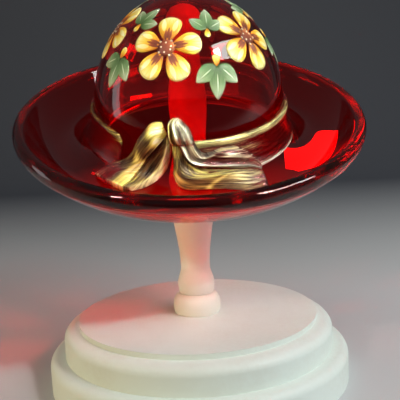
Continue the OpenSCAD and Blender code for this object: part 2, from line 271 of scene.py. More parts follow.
def shell(name, top, low, material):
    """A closed shell between an upper and a lower grid of points of the same shape."""
    rows, cols = top.shape[:2]
    count = rows * cols

    def spot(i, j):
        return i * cols + j

    faces = []
    for i in range(rows - 1):
        for j in range(cols - 1):
            quad = [spot(i, j), spot(i + 1, j), spot(i + 1, j + 1), spot(i, j + 1)]
            faces.append(quad)
            faces.append([count + k for k in reversed(quad)])
    rim = [spot(0, j) for j in range(cols - 1)]
    rim += [spot(i, cols - 1) for i in range(rows - 1)]
    rim += [spot(rows - 1, j) for j in range(cols - 1, 0, -1)]
    rim += [spot(i, 0) for i in range(rows - 1, 0, -1)]
    for a, b in zip(rim, rim[1:] + rim[:1]):
        faces.append([a, b, count + b, count + a])
    points = np.concatenate([top.reshape(-1, 3), low.reshape(-1, 3)])
    return mesh_object(name, points, faces, material)


# Materials
class Graph:
    """A material's node tree, with nodes added and linked by the names of their sockets."""

    def __init__(self, name):
        self.material = bpy.data.materials.new(name)
        self.material.use_nodes = True
        self.tree = self.material.node_tree
        self.tree.nodes.clear()
        self.out = self.tree.nodes.new("ShaderNodeOutputMaterial")

    def add(self, kind, inputs=None, **settings):
        node = self.tree.nodes.new(kind)
        for key, value in settings.items():
            setattr(node, key, value)
        for key, value in (inputs or {}).items():
            if isinstance(value, bpy.types.NodeSocket):
                self.tree.links.new(value, node.inputs[key])
            else:
                node.inputs[key].default_value = value
        return node

    def show(self, shader):
        self.tree.links.new(shader, self.out.inputs["Surface"])
        return self.material

    def fill(self, volume):
        self.tree.links.new(volume, self.out.inputs["Volume"])

    def object_place(self):
        return self.add("ShaderNodeTexCoord").outputs["Object"]

    def value(self, name):
        return self.add("ShaderNodeAttribute", attribute_name=name).outputs["Fac"]

    def noise(self, place, scale, detail=3.0, roughness=0.5, distortion=0.0):
        node = self.add("ShaderNodeTexNoise", {"Vector": place, "Scale": scale, "Detail": detail,
                                               "Roughness": roughness, "Distortion": distortion})
        return node.outputs["Fac"]

    def stretch(self, place, scale):
        node = self.add("ShaderNodeMapping", {"Vector": place, "Scale": scale})
        return node.outputs["Vector"]

    def span(self, value, low, high, to_low, to_high):
        node = self.add("ShaderNodeMapRange", {"Value": value, "From Min": low, "From Max": high,
                                               "To Min": to_low, "To Max": to_high})
        return node.outputs["Result"]

    def math(self, operation, a, b=0.0, clamp=False):
        node = self.add("ShaderNodeMath", operation=operation, use_clamp=clamp)
        for socket, value in zip(node.inputs, (a, b)):
            if isinstance(value, bpy.types.NodeSocket):
                self.tree.links.new(value, socket)
            else:
                socket.default_value = value
        return node.outputs["Value"]

    def ramp(self, value, *stops):
        node = self.add("ShaderNodeValToRGB", {"Fac": value})
        ends = node.color_ramp.elements
        while len(ends) < len(stops):
            ends.new(0.5)
        for end, (place, colour) in zip(ends, stops):
            end.position = place
            end.color = (*colour, 1)
        return node.outputs["Color"]

    def mix(self, share, a, b):
        node = self.add("ShaderNodeMix", data_type="RGBA")
        for socket, value in zip((node.inputs[0], node.inputs[6], node.inputs[7]), (share, a, b)):
            if isinstance(value, bpy.types.NodeSocket):
                self.tree.links.new(value, socket)
            else:
                socket.default_value = (*value, 1) if isinstance(value, tuple) else value
        return node.outputs[2]

    def bump(self, height, strength, distance):
        node = self.add("ShaderNodeBump", {"Height": height, "Strength": strength, "Distance": distance})
        return node.outputs["Normal"]


GLASS_IOR = 1.5
PAINT_IOR = 1.48
RUBY_FACE = (1, 0.93, 0.93, 1)
RUBY_SHADOW = (0.75, 0.66, 0.66, 1)
RUBY_TINT = (0.9927, 0.022, 0.087, 1)
RUBY_DENSITY = 920.0
BARE_RUBY = (0.45, 0.012, 0.022)


def ruby_glass():
    """Polished ruby glass, darker where it is thicker, with faint smears and pressed ripples."""
    g = Graph("ruby_glass")
    place = g.object_place()
    smear = g.noise(g.stretch(place, (1, 1, 3)), 28, 4)
    ripple = g.noise(place, 22, 1)
    surface = g.add("ShaderNodeBsdfPrincipled", {
        "Base Color": RUBY_FACE, "Roughness": g.span(smear, 0.45, 0.75, 0.0, 0.05), "IOR": GLASS_IOR,
        "Transmission Weight": 1.0, "Normal": g.bump(ripple, 0.08, 0.002)})
    clear = g.add("ShaderNodeBsdfTransparent", {"Color": RUBY_SHADOW})
    path = g.add("ShaderNodeLightPath")
    both = g.add("ShaderNodeMixShader", {0: path.outputs["Is Shadow Ray"], 1: surface.outputs[0],
                                         2: clear.outputs[0]})
    tint = g.add("ShaderNodeVolumeAbsorption", {"Color": RUBY_TINT, "Density": RUBY_DENSITY})
    g.fill(tint.outputs[0])
    return g.show(both.outputs[0])


# Gold and silver from painted shade at the dark end to painted highlight at the pale end, picked by the tone
GOLD_SHADE_TO_HIGHLIGHT = ((0.0, (0.02, 0.012, 0.006)), (0.3, (0.12, 0.072, 0.02)), (0.55, (0.50, 0.40, 0.06)),
         (0.8, (0.86, 0.77, 0.17)), (1.0, (0.97, 0.96, 0.62)))
SILVER_SHADE_TO_HIGHLIGHT = ((0.0, (0.03, 0.02, 0.02)), (0.3, (0.18, 0.16, 0.13)), (0.55, (0.56, 0.56, 0.46)),
           (0.8, (0.82, 0.86, 0.76)), (1.0, (0.96, 0.99, 0.92)))


def gilded_glass():
    """Ruby glass brushed with gold: streaks run along the ribbon and thin out where it is less gilded. Each
    piece's tone picks its metal's colour from painted shade at the dark end to painted highlight at the pale
    end.
    """
    g = Graph("gilded_glass")
    run = g.add("ShaderNodeUVMap", uv_map="ribbon").outputs["UV"]
    fine = g.noise(g.stretch(run, (0.7, 20, 1)), 1, 4, 0.65, 0.15)
    broad = g.noise(g.stretch(run, (0.5, 3.4, 1)), 1, 2, 0.5, 0.3)
    streak = g.math("ADD", g.math("MULTIPLY", fine, 0.6), g.math("MULTIPLY", broad, 0.4))
    streak = g.span(streak, 0.36, 0.64, 0, 1)
    cover = g.span(g.math("ADD", g.value("gilt"), g.math("MULTIPLY", streak, 0.6)), 0.55, 0.95, 0, 1)
    tone = g.math("ADD", g.value("tone"), g.span(streak, 0, 1, -0.34, 0.30))
    metal = g.mix(g.value("pale"), g.ramp(tone, *GOLD_SHADE_TO_HIGHLIGHT), g.ramp(tone, *SILVER_SHADE_TO_HIGHLIGHT))
    surface = g.add("ShaderNodeBsdfPrincipled", {
        "Base Color": g.mix(cover, BARE_RUBY, metal), "IOR": GLASS_IOR,
        "Roughness": g.math("ADD", g.math("MULTIPLY", cover, 0.2), g.span(fine, 0.3, 0.7, 0.04, 0.14)),
        "Metallic": g.math("MULTIPLY", cover, 0.2),
        "Transmission Weight": g.math("SUBTRACT", 1.0, cover, clamp=True),
        "Normal": g.bump(streak, 0.25, 0.0005)})
    return g.show(surface.outputs[0])


def white_paint(name, body, shade):
    """Satin paint on turned wood: faint turning lines, brushed unevenness and soiled patches at random."""
    g = Graph(name)
    place = g.object_place()
    cloud = g.noise(place, 14, 4, 0.6)
    rings = g.noise(g.stretch(place, (3, 3, 260)), 1, 3, 0.6)
    speck = g.noise(place, 420, 2)
    soil = g.math("MULTIPLY", g.span(cloud, 0.42, 0.72, 0, 0.55), g.span(speck, 0.35, 0.65, 0.6, 1.0))
    rough = g.span(g.math("ADD", cloud, speck), 0.7, 1.3, 0.34, 0.56)
    height = g.math("ADD", g.math("MULTIPLY", rings, 0.5), g.math("MULTIPLY", speck, 0.35))
    surface = g.add("ShaderNodeBsdfPrincipled", {
        "Base Color": g.mix(soil, body, shade), "Roughness": rough, "IOR": PAINT_IOR,
        "Normal": g.bump(height, 0.14, 0.0006)})
    return g.show(surface.outputs[0])


def screw_steel():
    """Zinc-plated steel with fine turning marks."""
    g = Graph("screw_steel")
    place = g.object_place()
    turned_marks = g.noise(g.stretch(place, (60, 60, 2400)), 1, 3)
    surface = g.add("ShaderNodeBsdfPrincipled", {
        "Base Color": g.mix(turned_marks, (0.5, 0.5, 0.52), (0.72, 0.72, 0.74)), "Metallic": 1.0,
        "Roughness": g.span(turned_marks, 0.3, 0.7, 0.22, 0.42)})
    return g.show(surface.outputs[0])


def enamel(name, *stops):
    """Hand-brushed enamel: colours run along each stroke, with bristle streaks."""
    g = Graph(name)
    run = g.add("ShaderNodeUVMap", uv_map="stroke").outputs["UV"]
    bristle = g.noise(g.stretch(run, (1.5, 16, 1)), 1, 3, 0.6)
    reach = g.add("ShaderNodeSeparateXYZ", {"Vector": run}).outputs["X"]
    tone = g.math("ADD", reach, g.span(bristle, 0.25, 0.75, -0.22, 0.22))
    surface = g.add("ShaderNodeBsdfPrincipled", {
        "Base Color": g.ramp(tone, *stops), "Roughness": g.span(bristle, 0.3, 0.7, 0.26, 0.46),
        "IOR": GLASS_IOR, "Normal": g.bump(bristle, 0.35, 0.0003)})
    return g.show(surface.outputs[0])


ruby = ruby_glass()
gilding = gilded_glass()

# The glass hat
hat_glass = lathe("hat_glass", glass_profile, ruby)
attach(hat_glass, "hat")
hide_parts("glass_shell")


# Ribbon band and bow
def finish_ribbon(piece, node, along, across, **values):
    """Gives a ribbon piece its brush directions and gilding, and sets it in place of its solid."""
    layer = piece.data.uv_layers.new(name="ribbon")
    spots = np.zeros(len(piece.data.loops), np.int64)
    piece.data.loops.foreach_get("vertex_index", spots)
    run = np.stack([along[spots], across[spots]], axis=1).astype(np.float32)
    layer.data.foreach_set("uv", run.ravel() / CM)
    for name, value in values.items():
        point_values(piece, name, value)
    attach(piece, "hat")
    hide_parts(node)


def both_sides(value, grid, below=1.0):
    """A value at the upper points of a shell, then at its lower ones, where it may be weaker."""
    upper = (value + np.zeros_like(grid)).ravel()
    return np.concatenate([upper, below * upper])


def rounding(distance, radius):
    """How far a rim of this radius drops at a distance inside it."""
    return radius * (1 - np.sqrt(1 - np.clip(1 - distance / radius, 0, 1) ** 2))


def band_piece():
    """The ribbon round the crown: rolled edges, fine pleats on the right and gilded edges. It ends beside
    the bow's left tail, where its upper corner dips and is rounded off."""
    steps = 40
    pleats = 7
    pleat_h = 0.14
    corner_r = 4
    end_r = 1
    dip = 1.5
    dip_w = 16
    turn = np.linspace(BAND_RIGHT_END, 360 + BAND_LEFT_END, TURN_STEPS + 1)
    to_end = np.radians(turn[-1] - turn) * CROWN_R
    angle = np.where(turn > 180, turn - 360, turn)
    right = after(angle, -14, 12) * before(angle, 100, 35)
    left = after(angle, -105, 30) * (angle < BAND_LEFT_END + LEAD_TURN)
    by_end = smooth(1 - to_end / dip_w)
    top_z = BAND_TOP_Z - rounding(to_end, corner_r) - dip * by_end
    up = np.linspace(1, 0, steps + 1)[:, None] + 0 * turn
    z = BAND_LOW_Z + up * (top_z - BAND_LOW_Z)
    edge = np.minimum(1, np.minimum(z - BAND_LOW_Z, top_z - z) / BAND_ROLL_W)
    out = (BAND_T + BAND_ROLL * np.sin(math.pi * edge) * (1 - edge / 2) - BAND_T * (1 - edge) ** 4 / 2
           + pleat_h * (0.2 + 0.8 * right) * (np.cos(2 * math.pi * pleats * up) - 1) * edge
           - rounding(to_end, end_r))
    seat = np.interp(-z, -wall[:, 1], wall[:, 0]) + SEAT_GAP
    way = np.radians(turn)
    outer, inner = (np.stack([r * np.sin(way), -r * np.cos(way), z], axis=-1) for r in (seat + out, seat))
    piece = shell("ribbon", outer, inner, gilding)
    upper_edge = after(up + 0.1 * np.maximum(right, by_end), 0.92, 0.05)
    lower_edge = right * after(angle, 25, 15) * before(up, 0.13, 0.08)
    pleated = right * before(angle, 55, 25) * after(up, 0.1, 0.3)
    browned = 0.35 * by_end * left
    edges = (0.4 + 0.5 * right + 0.4 * left) * upper_edge + 0.75 * lower_edge
    gilt = np.minimum(0.9, edges + 0.5 * pleated + browned)
    tone = 0.2 + 0.12 * right + (0.25 * right + 0.14 * left) * upper_edge + 0.4 * lower_edge
    pale = 0.3 * right + 0.6 * lower_edge
    finish_ribbon(piece, "ribbon_band", both_sides(way * CROWN_R, z), both_sides(z, z),
                  gilt=both_sides(gilt, z), pale=both_sides(pale, z), tone=both_sides(tone, z))


def curve_at(points, t):
    """A smooth curve through points, at shares t of its run."""
    p = np.array(points, float)
    n = len(p) - 1
    k = np.minimum(n - 1, np.floor(t * n).astype(int))
    u = (t * n - k).reshape(-1, *[1] * (p.ndim - 1))
    a, b, c, d = p[np.maximum(0, k - 1)], p[k], p[k + 1], p[np.minimum(n, k + 2)]
    return 0.5 * (2 * b + (c - a) * u + (2 * a - 5 * b + 4 * c - d) * u ** 2
                  + (3 * b - a - 3 * c + d) * u ** 3)


def bow_piece(name, node, first, second, relief, rims, pleats, gilding_at):
    """One piece of the bow between two edges on the glass: relief in hundredths of the bow's rise,
    radii of its four rims (first and second edge, start and end), fine pleats and brushed gold."""
    pleat_h = 0.12
    t = (1 - np.cos(np.linspace(0, math.pi, BOW_ROWS + 1))) / 2
    u = (1 - np.cos(np.linspace(0, math.pi, BOW_COLS + 1))) / 2
    a, b = curve_at(first, t), curve_at(second, t)
    spot = a[:, None] * (1 - u[None, :, None]) + b[:, None] * u[None, :, None]
    angle, s = spot[..., 0], spot[..., 1] * BOW_H / 100
    flat = on_glass(angle, s, np.zeros_like(s))
    across = np.concatenate([np.zeros((len(t), 1)),
                             np.cumsum(np.linalg.norm(np.diff(flat, axis=1), axis=-1), axis=1)], axis=1)
    middle = np.linalg.norm(np.diff(flat[:, BOW_COLS // 2], axis=0), axis=-1)
    along = np.repeat(np.concatenate([[0], np.cumsum(middle)])[:, None], len(u), axis=1)
    T, U = np.meshgrid(t, u, indexing="ij")
    low = bow_seat(angle, s)
    tops = curve_at(curve_at(np.array(relief, float), t).T, u).T * BOW_RISE / 100
    wander = 2 * np.sin(3 * T)
    tops = tops + pleat_h * np.cos(2 * math.pi * pleats * U + wander)
    for distance, radius in zip((across, across[:, -1:] - across, along, along[-1] - along), rims):
        tops = tops - rounding(distance, radius)
    tops = np.maximum(tops, low + BOW_LEAST / 2)
    piece = shell(name, on_glass(angle, s, tops), on_glass(angle, s, low), gilding)
    gilt, pale, tone = gilding_at(T, U)
    finish_ribbon(piece, node, both_sides(along, T), both_sides(across, T),
                  gilt=both_sides(gilt, T, BOW_FOOT_GILT), pale=both_sides(pale, T),
                  tone=both_sides(tone, T, BOW_FOOT_SHADED_TONE))


# Edges of the bow's pieces: degrees from the front, then hundredths of the bow's height down the profile
gap_angle = math.degrees(BOW_GAP / CROWN_R)
gap_share = 100 * BOW_GAP / BOW_H
knot_left = [(-8.2, -36.5), (-10.2, -32), (-10.4, -25.5), (-10.2, -18.5), (-9.4, -12)]
knot_right = [(-5.4, -36.5), (-2.4, -31.5), (0, -26.5), (1.6, -19), (2.6, -12.5)]
left_outer = [(-14.5, -31), (-20, -29), (-24, -20), (-28.5, -7), (-32.5, 10), (-39.5, 26), (-47.5, 39),
              (-48.5, 56)]
crease = [(-11.5, -18), (-13.5, -12.5), (-16.5, -5), (-20, 5.5), (-22.5, 17), (-25, 32), (-27, 48), (-29, 63)]
left_inner = [(-11, -15), (-9.8, -9.5), (-9.5, -1.5), (-10.2, 9.5), (-12, 23.5), (-16, 36.5), (-20.5, 47.5),
              (-25.5, 57.5)]
right_upper = [(3, -10.5), (4.6, -4), (7.2, 1.5), (11.6, 0.5), (16.2, -2), (21, -2), (26.4, 1.5), (31.6, 9.5),
               (35.6, 19), (37.8, 33)]
right_middle = [(-4.6, -10), (-3, -1.5), (-0.8, 9), (2.2, 16), (6.6, 20), (12, 22.5), (18.4, 26), (25, 30.5),
                (31.8, 36), (36.6, 42)]
right_lower = [(-8.8, -9), (-8.4, 4.5), (-8.2, 19), (-8, 31.5), (-5, 43.5), (-0.4, 48), (7, 48.5), (16, 51.5),
               (25.5, 60), (34.5, 63.5)]

# Heights of the bow's pieces in hundredths of its rise: the rows follow the piece from its start to its end,
# and the numbers in a row go from its first edge to its second
knot_relief = [(50, 60, 64, 66, 66, 66, 64, 60, 50), (58, 96, 86, 108, 92, 106, 86, 94, 58),
               (60, 104, 92, 118, 98, 114, 92, 102, 60), (60, 100, 90, 114, 96, 112, 92, 104, 62),
               (58, 78, 76, 84, 80, 84, 78, 84, 60)]
left_tail_relief = [(42, 62, 70, 66, 52), (45, 84, 95, 88, 74), (47, 68, 90, 94, 76), (36, 46, 66, 82, 68),
                    (32, 36, 42, 48, 42)]
left_loop_relief = [(54, 60, 64, 60, 42), (62, 58, 60, 62, 38), (66, 56, 53, 50, 32), (58, 50, 45, 39, 26),
                    (44, 42, 38, 33, 22)]
right_loop_relief = [(62, 88, 72, 66, 70, 85, 60), (60, 92, 74, 64, 78, 95, 58), (58, 84, 70, 62, 66, 72, 50),
                     (54, 76, 62, 66, 86, 78, 48), (50, 66, 56, 60, 74, 66, 44), (40, 46, 46, 46, 48, 46, 40)]
right_tail_relief = [(52, 70, 74, 72, 62), (48, 80, 84, 74, 62), (40, 80, 86, 72, 60), (32, 78, 78, 66, 58),
                     (28, 76, 70, 62, 56), (26, 62, 90, 70, 56), (24, 50, 68, 78, 52), (22, 36, 46, 52, 44)]


def shifted(edge, across, down):
    return [(a + across * gap_angle, s + down * gap_share) for a, s in edge]


# How a piece of the bow is gilded at shares t along it and u across it: each function gives the cover
# of gold, the share of pale metal and the tone, the metal's brightness, which paints highlights and shade
# onto the gold
def left_tail_gilding(t, u):
    thin = after(t, 0.6, 0.25) * before(u, 0.8, 0.3)
    lobe_highlight = before(t, 0.3, 0.16)
    crease_highlight = after(u - 0.1 * t, 0.55, 0.2) * (0.5 * hill(t, 0.22, 0.16) + after(t, 0.5, 0.12))
    painted_highlight_band = hill(t - 0.14 * u, 0.44, 0.13) * after(u, 0.2, 0.25)
    shaded_end = after(t, 0.62, 0.1) * before(u, 0.7, 0.1)
    rim = after(t, 0.97, 0.02)
    low_corner = after(t, 0.8, 0.15)
    # Painted highlights on the top lobe, by the crease and in a band across the middle, and painted shade at
    # the lower end; the end's rim is more gilded and carries a painted highlight
    tone = (0.26 + 0.54 * lobe_highlight + (0.55 - 0.18 * low_corner) * np.maximum(crease_highlight, painted_highlight_band)
            - 0.14 * shaded_end + 0.2 * rim)
    return 0.95 - 0.6 * thin + 0.15 * rim, 0.05 + 0.4 * thin, tone


def left_loop_gilding(t, u):
    rim = after(u, 0.5, 0.25)
    low = after(t, 0.68, 0.15)
    knot_side_highlight = after(u, 0.6, 0.2) * hill(t, 0.35, 0.3)
    # Painted shade in the valley by the crease, a painted highlight on the rim that fades at the low end, and
    # one beside the knot
    tone = 0.17 + 0.6 * rim * (1 - 0.7 * low) + 0.2 * low + 0.35 * knot_side_highlight
    return 0.95, 0.06 + 0.3 * rim, tone


def knot_gilding(t, u):
    fold_count = 2.6
    fold_light_and_shade = 0.38 * np.cos(2 * math.pi * fold_count * (u - 0.05)) * after(t, 0, 0.25)
    left_edge_highlight = before(u, 0.2, 0.1)
    # Painted light and shade: bright and dark folds, a painted highlight on the left edge, darker towards the
    # bottom
    tone = 0.6 + fold_light_and_shade + 0.3 * left_edge_highlight - 0.1 * after(t, 0.75, 0.2)
    return 0.95, 0.05 + 0.65 * after(u, 0.25, 0.2), tone


def right_loop_gilding(t, u):
    stream = before(t, 0.45, 0.15)
    stream_light_lines = 0.4 + 0.5 * hill(u, 0.2, 0.15) + 0.4 * hill(u, 0.72, 0.2) - 0.3 * after(u, 0.86, 0.08)
    painted_glint = hill(u, 0.72, 0.17) * hill(t, 0.58, 0.15)
    low_line = hill(u, 0.15, 0.16)
    top_line = after(u, 0.9, 0.05) * before(t, 0.72, 0.1)
    hump_gilt = 0.42 + 0.5 * np.maximum(np.maximum(painted_glint, low_line), top_line)
    # Painted light and shade: bright and dark lines along the stream and a painted glint on the hump; the low
    # and top lines are gilding lines that also carry a slight painted highlight
    tone = stream_light_lines * stream + (0.3 + 0.5 * painted_glint + 0.2 * low_line + 0.1 * top_line) * (1 - stream)
    pale = 0.7 - 0.35 * top_line * (1 - stream) + 0.2 * low_line
    return 0.9 * stream + hump_gilt * (1 - stream), pale, tone


def right_tail_gilding(t, u):
    root_highlight = before(t, 0.16, 0.12)
    left_rim_highlight = before(u, 0.28, 0.15) * hill(t, 0.36, 0.16)
    lowered = 0.15 * after(t, 0.3, 0.2)
    ridge_highlight = hill(u + lowered, 0.94, 0.09) * after(t, 0.2, 0.1) * before(t, 0.58, 0.1)
    fold_highlight = hill(t - 0.12 * u, 0.68, 0.03) * before(u, 0.75, 0.2)
    leaf_highlight = hill(u, 0.5, 0.3) * hill(t, 0.81, 0.09)
    brown_shade = hill(t, 0.21, 0.16) * hill(u, 0.65, 0.35)
    glow = hill(t, 0.57, 0.07) * hill(u, 0.8, 0.16)
    highlights = np.maximum(np.maximum(left_rim_highlight, ridge_highlight), np.maximum(fold_highlight, leaf_highlight))
    # Painted highlights at the root, on the left rim, the ridge, the fold and the leaf, and painted shade in
    # the brown patch
    tone = 0.36 + 0.2 * root_highlight + 0.42 * highlights - 0.15 * brown_shade
    gilt = 0.92 - 0.3 * after(t, 0.84, 0.1) - 0.35 * after(t, 0.93, 0.07) - 0.55 * glow
    return gilt, 0.08 + 0.25 * after(t, 0.7, 0.1), tone


band_piece()
bow_piece("knot", "bow_knot", knot_left, knot_right, knot_relief, (1.6, 1.6, 2, 0.1), 0, knot_gilding)
bow_piece("left_loop", "bow_left_loop", shifted(crease, 1, 0), left_inner, left_loop_relief,
          (0.4, 2, 0.5, 0.8), 5, left_loop_gilding)
bow_piece("left_tail", "bow_left_tail", left_outer, crease, left_tail_relief,
          (2.6, 0.5, 4.6, 0.9), 8, left_tail_gilding)
bow_piece("right_loop", "bow_right_loop", right_middle, right_upper, right_loop_relief,
          (0.6, 1.4, 0.1, 1), 6, right_loop_gilding)
bow_piece("right_tail", "bow_right_tail", right_lower, shifted(right_middle, -1, 1), right_tail_relief,
          (1.6, 0.5, 0.1, 1), 7, right_tail_gilding)

# Painted flowers on the crown
PAINT_GAP = 0.04
PAINT_RINGS = 5


def crown_patch(angle, rise):
    """Centre and directions of a patch of the dome: degrees from the front, degrees up the dome."""
    a, e = math.radians(angle), math.radians(rise)
    centre = np.array([CROWN_R * math.cos(e) * math.sin(a), -CROWN_R * math.cos(e) * math.cos(a),
                       DOME_RISE * math.sin(e)])
    right = np.array([math.cos(a), math.sin(a), 0])
    up = np.array([-CROWN_R * math.sin(e) * math.sin(a), CROWN_R * math.sin(e) * math.cos(a),
                   DOME_RISE * math.cos(e)])
    return centre, right, up / np.linalg.norm(up)


def on_crown(patch, x, y, height):
    """Points of a patch laid on the dome, at a height above it."""
    centre, right, up = patch
    half = np.array([CROWN_R, CROWN_R, DOME_RISE])
    p = centre + np.multiply.outer(x, right) + np.multiply.outer(y, up)
    p = p / np.linalg.norm(p / half, axis=-1, keepdims=True)
    normal = p / half ** 2
    normal /= np.linalg.norm(normal, axis=-1, keepdims=True)
    return p + np.asarray(height)[..., None] * normal + np.array([0, 0, DOME_Z])


class Paint:
    """Strokes of one colour, gathered into one mesh of small closed pillows on the crown."""

    def __init__(self, name, material):
        self.name, self.material = name, material
        self.points, self.faces, self.run = [], [], []

    def stroke(self, patch, at, turn, outline, thick, steps=28):
        """A pillow whose rim follows outline(angle) in its own axes, x along the stroke."""
        a = np.linspace(0, 2 * math.pi, steps, endpoint=False)
        rim_x, rim_y = outline(a)
        span = rim_x.max() - rim_x.min()
        wide = np.abs(rim_y).max()
        share = np.linspace(0, 1, PAINT_RINGS + 1)[1:, None]
        x = np.concatenate([[0.0], (share * rim_x).ravel()])
        y = np.concatenate([[0.0], (share * rim_y).ravel()])
        lift = np.concatenate([[1.0], np.repeat(np.sqrt(1 - share ** 4 * 0.98), steps)])
        c, s = math.cos(math.radians(turn)), math.sin(math.radians(turn))
        px, py = at[0] + c * x - s * y, at[1] + s * x + c * y
        first = len(self.points)
        for height in (PAINT_GAP + thick * lift, np.full_like(lift, PAINT_GAP)):
            self.points += [tuple(p) for p in on_crown(patch, px, py, height)]
            self.run += [((u - rim_x.min()) / span, v / wide) for u, v in zip(x, y)]
        count = len(x)

        def ring(side, i, k):
            return first + side * count + (0 if i == 0 else 1 + (i - 1) * steps + k % steps)

        for k in range(steps):
            for i in range(PAINT_RINGS):
                up = [ring(0, i, k), ring(0, i + 1, k), ring(0, i + 1, k + 1), ring(0, i, k + 1)]
                down = [ring(1, i, k + 1), ring(1, i + 1, k + 1), ring(1, i + 1, k), ring(1, i, k)]
                self.faces += [list(dict.fromkeys(up)), list(dict.fromkeys(down))]
            last = PAINT_RINGS
            side = [ring(0, last, k), ring(1, last, k), ring(1, last, k + 1), ring(0, last, k + 1)]
            self.faces.append(side)

    def build(self):
        piece = mesh_object(self.name, self.points, self.faces, self.material)
        layer = piece.data.uv_layers.new(name="stroke")
        for loop in piece.data.loops:
            layer.data[loop.index].uv = self.run[loop.vertex_index]
        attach(piece, "hat")


def petal(length, width):
    def outline(a):
        x = length / 2 * np.cos(a)
        return x, width / 2 * np.sin(a) * (0.8 + 0.34 * np.cos(a)) * (1 - 0.1 * np.cos(a) ** 8)
    return outline


def leaf(length, width):
    def outline(a):
        x = length / 2 * np.cos(a)
        return x, width / 2 * np.sign(np.sin(a)) * np.abs(np.sin(a)) ** 1.5 * (1 - 0.25 * np.cos(a))
    return outline


def round_dot(size):
    return lambda a: (size / 2 * np.cos(a), size / 2 * np.sin(a))


YELLOWS = ((0.0, (0.45, 0.10, 0.01)), (0.28, (0.80, 0.34, 0.02)), (0.6, (0.90, 0.62, 0.05)),
           (0.95, (0.95, 0.85, 0.34)))
GREENS = ((0.0, (0.05, 0.10, 0.03)), (0.4, (0.13, 0.24, 0.09)), (0.75, (0.33, 0.43, 0.24)),
          (1.0, (0.55, 0.62, 0.44)))
SAGES = ((0.0, (0.40, 0.50, 0.30)), (0.6, (0.62, 0.70, 0.52)), (1.0, (0.78, 0.82, 0.68)))
BROWNS = ((0.0, (0.10, 0.015, 0.01)), (0.6, (0.30, 0.06, 0.02)), (1.0, (0.50, 0.16, 0.04)))
PALES = ((0.0, (0.88, 0.60, 0.10)), (0.5, (0.95, 0.86, 0.42)), (1.0, (0.98, 0.95, 0.74)))
CREAMS = ((0.0, (0.72, 0.55, 0.30)), (0.6, (0.92, 0.84, 0.62)), (1.0, (0.97, 0.93, 0.80)))

petals = Paint("painted_petals", enamel("yellow_enamel", *YELLOWS))
leaves = Paint("painted_leaves", enamel("green_enamel", *GREENS))
hearts = Paint("painted_hearts", enamel("brown_enamel", *BROWNS))
dots = Paint("painted_dots", enamel("cream_enamel", *CREAMS))
ribs = Paint("painted_ribs", enamel("sage_enamel", *SAGES))
lights = Paint("painted_lights", enamel("pale_enamel", *PALES))


def blossom(angle, rise, size, turn):
    """A round flower of five broad petals with pale and brown strokes, a brown heart and cream dots.
    Lengths are shares of its size."""
    count = 5
    dot_count = 9
    patch = crown_patch(angle, rise)
    for k in range(count):
        way = turn + 360 * k / count
        petals.stroke(patch, 0.30 * size * turned(way), way, petal(0.44 * size, 0.40 * size), 0.30)
        for side in (-1, 1):
            lights.stroke(patch, 0.36 * size * turned(way + 13 * side), way + 9 * side,
                          leaf(0.26 * size, 0.09 * size), 0.36, 20)
            hearts.stroke(patch, 0.2 * size * turned(way + 9 * side), way + 6 * side,
                          leaf(0.2 * size, 0.05 * size), 0.40, 16)
        hearts.stroke(patch, 0.23 * size * turned(way), way, leaf(0.22 * size, 0.05 * size), 0.40, 16)
    hearts.stroke(patch, (0, 0), turn, round_dot(0.25 * size), 0.5)
    for k in range(dot_count):
        dots.stroke(patch, 0.07 * size * (1 + 0.7 * (k % 2)) * turned(turn + 360 / dot_count * k), 0,
                    round_dot(0.035 * size), 0.62, 12)


def sprig(angle, rise, turn, size):
    """A spray of three leaves, each with a pale rib, and a small bud. Lengths are shares of its size."""
    patch = crown_patch(angle, rise)
    for way, far in ((-52, 0.8), (0, 1.0), (52, 0.8)):
        at = 0.5 * size * far * turned(turn + way)
        leaves.stroke(patch, at, turn + way, leaf(0.9 * size * far, 0.46 * size), 0.26)
        ribs.stroke(patch, at, turn + way, leaf(0.62 * size * far, 0.05 * size), 0.32, 16)
    petals.stroke(patch, -0.12 * size * turned(turn), turn + 180, petal(0.34 * size, 0.26 * size), 0.3)


FLOWERS = 5
FIRST_FLOWER = -16
for k in range(FLOWERS):
    middle = FIRST_FLOWER + 360 * k / FLOWERS
    between = middle + 180 / FLOWERS
    blossom(middle, rise=47, size=37, turn=20 + 31 * k)
    sprig(between, rise=38, turn=262, size=19)
    sprig(between, rise=56, turn=78, size=15)
for paint in (petals, leaves, hearts, dots, lights, ribs):
    paint.build()

# The stand keeps its solids
EDGE_R = 0.6
EDGE_STEPS = 3
EDGE_ANGLE = 35.0
stand_paint = white_paint("white_paint", (0.78, 0.86, 0.82), (0.68, 0.69, 0.62))
post_paint = white_paint("cream_paint", (0.77, 0.77, 0.69), (0.62, 0.58, 0.47))
FINISHES = {"base_upper": stand_paint, "base_lower": stand_paint, "post": post_paint,
            "post_screw": screw_steel()}
for node, finish in FINISHES.items():
    slots = frame["nodes"][node].data.materials
    slots.clear()
    slots.append(finish)
for node in ("base_upper", "base_lower"):
    bevel = frame["nodes"][node].modifiers.new("softened_edges", "BEVEL")
    bevel.width = EDGE_R * MM
    bevel.segments = EDGE_STEPS
    bevel.limit_method = "ANGLE"
    bevel.angle_limit = math.radians(EDGE_ANGLE)

# Floor and backdrop in one sweep
FLOOR_FRONT = -1500.0
FLOOR_BACK = 900.0
SWEEP_R = 500.0
SWEEP_TOP = 1100.0
SWEEP_HALF = 1500.0
FRONT_FADE = (-260.0, -110.0)
WALL_FADE = (150.0, 900.0)
FRONT_TONE = (0.03, 0.03, 0.033)
FLOOR_TONE = (0.54, 0.54, 0.55)
CLOUD_TONE = (0.58, 0.58, 0.59)
WALL_TONE = (0.108, 0.114, 0.135)


